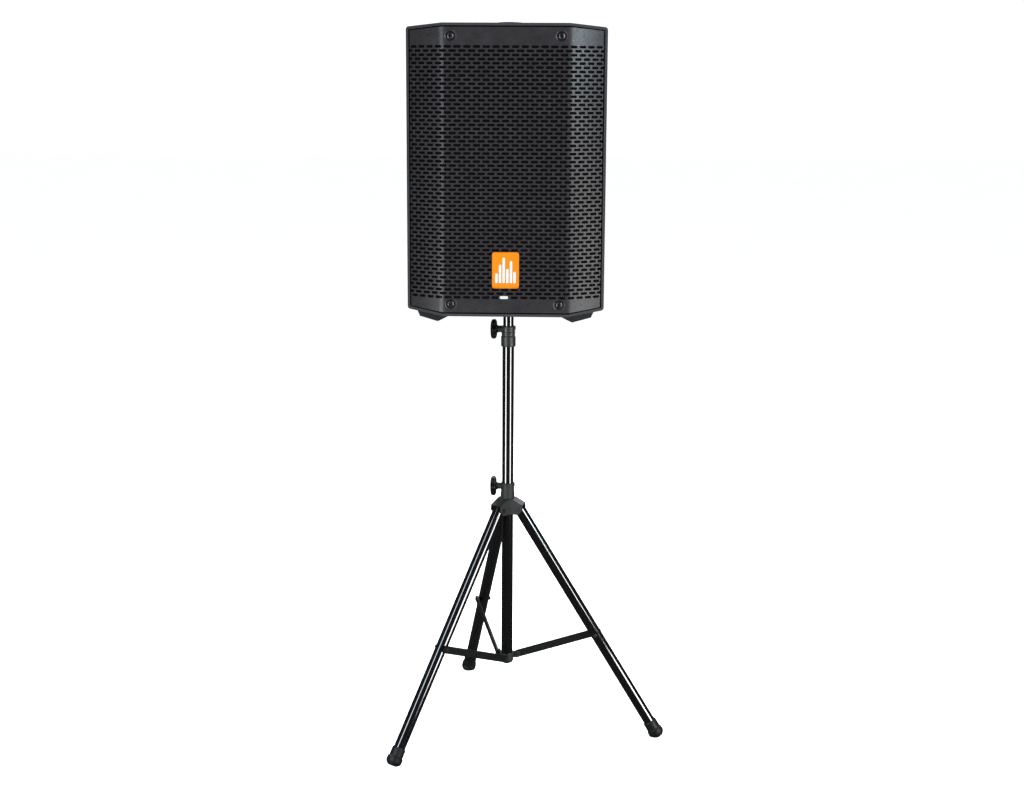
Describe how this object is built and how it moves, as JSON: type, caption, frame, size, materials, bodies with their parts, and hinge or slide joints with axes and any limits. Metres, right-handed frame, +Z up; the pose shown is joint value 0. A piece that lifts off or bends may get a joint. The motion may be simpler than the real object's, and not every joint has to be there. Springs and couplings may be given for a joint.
{
  "type": "pa speaker on a tripod stand",
  "caption": "Powered loudspeaker cabinet with a folded perforated front, on a telescoping mast with a folding tripod base.",
  "frame": {"origin": "on the floor, on the axis of the stand's mast", "axes": "+Z up along the mast; the speaker faces -Y; +X is to the right seen from in front"},
  "size_m": [0.6647, 0.6824, 1.7245],
  "materials": {
    "shell_plastic": "fine moulded texture, charcoal",
    "grip_plastic": "soft satin grip",
    "grille_steel": "powder coat, charcoal",
    "grille_foam": "open-cell acoustic foam",
    "screw_black": "black oxide",
    "badge": "satin orange",
    "led_lens": "lit white light bar",
    "socket_plastic": "satin black",
    "insert_brass": "turned",
    "cone_paper": "pressed paper pulp, black",
    "surround_rubber": "treated cloth roll",
    "spider_cloth": "resin-treated cloth",
    "basket_steel": "pressed steel, black",
    "ferrite": "ferrite, ground",
    "plated_steel": "zinc plated",
    "voice_coil": "copper wire on a former",
    "horn_plastic": "satin black",
    "panel_metal": "fine powder coat",
    "heat_sink": "black anodised",
    "circuit_board": "green solder mask",
    "transformer": "taped winding",
    "pot_metal": "plated",
    "connector_plastic": "moulded black",
    "knob_plastic": "satin black",
    "rocker_plastic": "gloss black",
    "sleeve_plastic": "satin black nylon",
    "tube_gloss_black": "gloss black enamel",
    "stand_plastic": "charcoal moulded nylon",
    "clamp_knob_plastic": "satin black",
    "brace_steel": "satin black enamel",
    "bolt_black": "black oxide",
    "foot_rubber": "moulded black rubber"
  },
  "bodies": {
    "column": {"column_tube": "tube_gloss_black", "upper_collar": "stand_plastic", "bottom_bracket": "stand_plastic", "bracket_bolts": "bolt_black"},
    "mast": {"mast_tube": "tube_gloss_black"},
    "pole_adapter": {"adapter_sleeve": "sleeve_plastic"},
    "cabinet": {"front_shell": "shell_plastic", "rear_shell": "shell_plastic", "cabinet_feet": "shell_plastic", "top_handle_grip": "grip_plastic", "pole_socket": "socket_plastic", "rigging_inserts": "insert_brass", "front_baffle": "shell_plastic", "grille": "grille_steel", "grille_foam": "grille_foam", "grille_screws": "screw_black", "badge": "badge", "led_lens": "led_lens", "woofer_basket": "basket_steel", "woofer_surround": "surround_rubber", "woofer_spider": "spider_cloth", "woofer_magnet": "ferrite", "woofer_yoke": "plated_steel", "horn_waveguide": "horn_plastic", "compression_driver": "ferrite", "driver_screws": "screw_black", "amp_panel": "panel_metal", "amp_screws": "screw_black", "heat_sink": "heat_sink", "amp_board": "circuit_board", "power_transformer": "transformer", "potentiometers": "pot_metal", "signal_sockets": "connector_plastic", "mains_module": "connector_plastic"},
    "woofer_moving": {"woofer_cone": "cone_paper", "dust_cap": "cone_paper", "voice_coil": "voice_coil"},
    "level_knob_1": {"level_knob_1": "knob_plastic"},
    "level_knob_2": {"level_knob_2": "knob_plastic"},
    "power_rocker": {"power_rocker": "rocker_plastic"},
    "lift_button": {"lift_button": "knob_plastic"},
    "upper_knob": {"upper_knob": "clamp_knob_plastic"},
    "crown": {"crown": "stand_plastic", "crown_bolts": "bolt_black"},
    "lower_knob": {"lower_knob": "clamp_knob_plastic"},
    "leg_1": {"leg_tube_1": "tube_gloss_black", "knee_pin_1": "bolt_black", "foot_tip_1": "foot_rubber"},
    "brace_1": {"brace_bar_1": "brace_steel", "brace_bolt_1": "bolt_black"},
    "leg_2": {"leg_tube_2": "tube_gloss_black", "knee_pin_2": "bolt_black", "foot_tip_2": "foot_rubber"},
    "brace_2": {"brace_bar_2": "brace_steel", "brace_bolt_2": "bolt_black"},
    "leg_3": {"leg_tube_3": "tube_gloss_black", "knee_pin_3": "bolt_black", "foot_tip_3": "foot_rubber"},
    "brace_3": {"brace_bar_3": "brace_steel", "brace_bolt_3": "bolt_black"}
  },
  "joints": [
    {"name": "crown_slide", "type": "slide", "parent": "column", "child": "crown", "axis": [0, 0, 1], "range_m": [0, 0.19726]},
    {"name": "mast_slide", "type": "slide", "parent": "column", "child": "mast", "axis": [0, 0, 1], "range_m": [-0.03, 0.6]},
    {"name": "pole_swivel", "type": "hinge", "parent": "mast", "child": "pole_adapter", "pos_m": [0, 0, 1.1], "axis": [0, 0, 1], "continuous": true},
    {"name": "speaker_lift", "type": "slide", "parent": "pole_adapter", "child": "cabinet", "axis": [0, 0, 1], "range_m": [0, 0.1]},
    {"name": "upper_clamp", "type": "hinge", "parent": "column", "child": "upper_knob", "pos_m": [-0.03, 0, 1.002], "axis": [-1, 0, 0], "range_deg": [0, 360]},
    {"name": "lower_clamp", "type": "hinge", "parent": "crown", "child": "lower_knob", "pos_m": [-0.03, 0, 0.612], "axis": [-1, 0, 0], "range_deg": [0, 360]},
    {"name": "cone_travel", "type": "slide", "parent": "cabinet", "child": "woofer_moving", "axis": [0, -1, 0], "range_m": [-0.006, 0.006], "stiffness_N_per_m": 3000, "deforming": ["woofer_surround", "woofer_spider"]},
    {"name": "level_1_turn", "type": "hinge", "parent": "cabinet", "child": "level_knob_1", "pos_m": [-0.062, 0.16, 1.384], "axis": [0, 1, 0], "range_deg": [-140, 140]},
    {"name": "level_2_turn", "type": "hinge", "parent": "cabinet", "child": "level_knob_2", "pos_m": [-0.022, 0.16, 1.384], "axis": [0, 1, 0], "range_deg": [-140, 140]},
    {"name": "power_switch", "type": "hinge", "parent": "cabinet", "child": "power_rocker", "pos_m": [0.06, 0.152, 1.346], "axis": [-1, 0, 0], "range_deg": [0, 14]},
    {"name": "lift_press", "type": "slide", "parent": "cabinet", "child": "lift_button", "axis": [0, -1, 0], "range_m": [0, 0.003], "stiffness_N_per_m": 300, "springref_m": -0.002},
    {"name": "leg_1_fold", "type": "hinge", "parent": "crown", "child": "leg_1", "pos_m": [0.02934, -0.00624, 0.557], "axis": [0.2079, 0.9781, 0], "range_deg": [0, 30.24]},
    {"name": "brace_1_fold", "type": "hinge", "parent": "column", "child": "brace_1", "pos_m": [0.02709, 0.01203, 0.175], "axis": [-0.2079, -0.9781, 0], "range_deg": [0, 63.77]},
    {"name": "leg_2_fold", "type": "hinge", "parent": "crown", "child": "leg_2", "pos_m": [-0.00927, 0.02853, 0.557], "axis": [-0.9511, -0.309, 0], "range_deg": [0, 30.24]},
    {"name": "brace_2_fold", "type": "hinge", "parent": "column", "child": "brace_2", "pos_m": [-0.02397, 0.01745, 0.175], "axis": [0.9511, 0.309, 0], "range_deg": [0, 63.77]},
    {"name": "leg_3_fold", "type": "hinge", "parent": "crown", "child": "leg_3", "pos_m": [-0.02007, -0.02229, 0.557], "axis": [0.7431, -0.6691, 0], "range_deg": [0, 30.24]},
    {"name": "brace_3_fold", "type": "hinge", "parent": "column", "child": "brace_3", "pos_m": [-0.00313, -0.02948, 0.175], "axis": [-0.7431, 0.6691, 0], "range_deg": [0, 63.77]}
  ],
  "couplings": [
    {"joint": "leg_1_fold", "follows": "crown_slide", "rad_per_m": 2.6747},
    {"joint": "brace_1_fold", "follows": "crown_slide", "rad_per_m": 5.6407},
    {"joint": "leg_2_fold", "follows": "crown_slide", "rad_per_m": 2.6747},
    {"joint": "brace_2_fold", "follows": "crown_slide", "rad_per_m": 5.6407},
    {"joint": "leg_3_fold", "follows": "crown_slide", "rad_per_m": 2.6747},
    {"joint": "brace_3_fold", "follows": "crown_slide", "rad_per_m": 5.6407}
  ]
}
